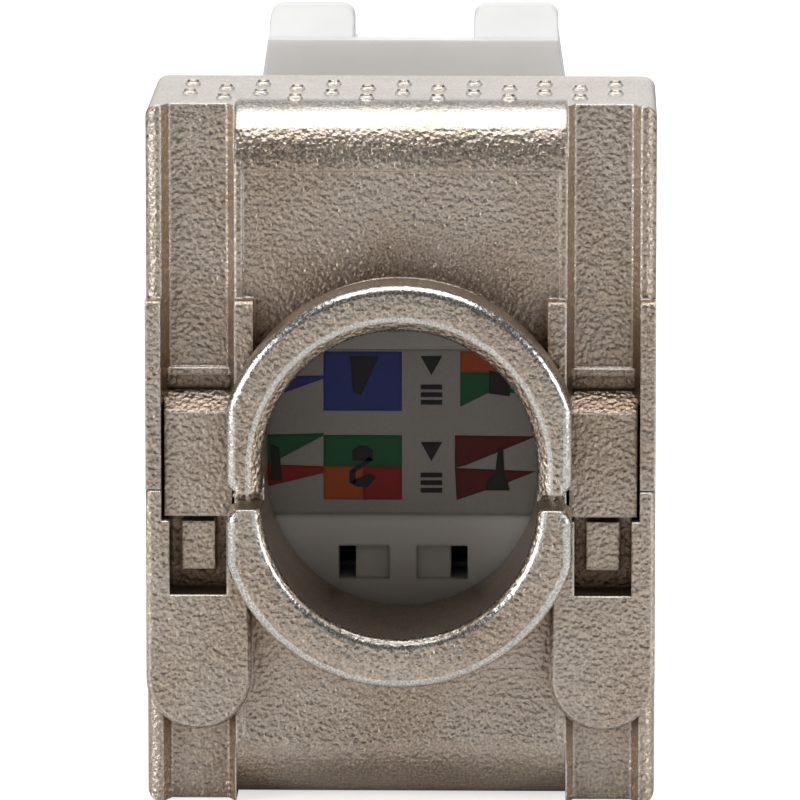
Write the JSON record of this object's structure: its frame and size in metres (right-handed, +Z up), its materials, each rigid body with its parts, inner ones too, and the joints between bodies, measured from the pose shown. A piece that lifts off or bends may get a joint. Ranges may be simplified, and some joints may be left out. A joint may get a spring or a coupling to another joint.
{
  "type": "keystone jack",
  "caption": "Shielded tool-less keystone jack: a modular port housing with two hinged metal wings that close round the cable in an oval collar, and a sprung panel latch.",
  "frame": {"origin": "middle of the bottom of the bounding box, on the plane that the lower wing and the keystone hook rest on", "axes": "+Z up, towards the panel latch; +Y out of the modular port; -Y towards the cable"},
  "size_m": [0.0164, 0.036, 0.0232],
  "materials": {
    "zinc": "sand-textured nickel-plated zinc casting",
    "pin_steel": "turned steel",
    "spring_steel": "bright spring steel",
    "white_plastic": "moulded white plastic",
    "label_card": "printed card",
    "board": "solder-masked board",
    "gold_contact": "gold-plated wire",
    "tinned_contact": "tinned bronze"
  },
  "bodies": {
    "housing": {"front_housing": "zinc", "upper_hinge_pin": "pin_steel", "lower_hinge_pin": "pin_steel", "contact_carrier": "white_plastic", "jack_contact_1": "gold_contact", "jack_contact_2": "gold_contact", "jack_contact_3": "gold_contact", "jack_contact_4": "gold_contact", "jack_contact_5": "gold_contact", "jack_contact_6": "gold_contact", "jack_contact_7": "gold_contact", "jack_contact_8": "gold_contact", "circuit_board": "board", "idc_block": "white_plastic", "idc_contact_1": "tinned_contact", "idc_contact_2": "tinned_contact", "idc_contact_3": "tinned_contact", "idc_contact_4": "tinned_contact", "idc_contact_5": "tinned_contact", "idc_contact_6": "tinned_contact", "idc_contact_7": "tinned_contact", "idc_contact_8": "tinned_contact", "wire_cap": "white_plastic", "wiring_label": "label_card", "shield_spring_left": "spring_steel", "shield_spring_right": "spring_steel"},
    "upper_wing": {"upper_wing": "zinc"},
    "lower_wing": {"lower_wing": "zinc"},
    "panel_latch": {"panel_latch": "white_plastic"}
  },
  "joints": [
    {"name": "upper_wing_hinge", "type": "hinge", "parent": "housing", "child": "upper_wing", "pos_m": [0, -0.001, 0.0179], "axis": [-1, 0, 0], "range_deg": [0, 80]},
    {"name": "lower_wing_hinge", "type": "hinge", "parent": "housing", "child": "lower_wing", "pos_m": [0, -0.001, 0.0026], "axis": [1, 0, 0], "range_deg": [0, 90]},
    {"name": "panel_latch_flex", "type": "hinge", "parent": "housing", "child": "panel_latch", "pos_m": [0, 0.015, 0.0179], "axis": [1, 0, 0], "range_deg": [0, 9], "stiffness_Nm_per_rad": 0.2}
  ]
}
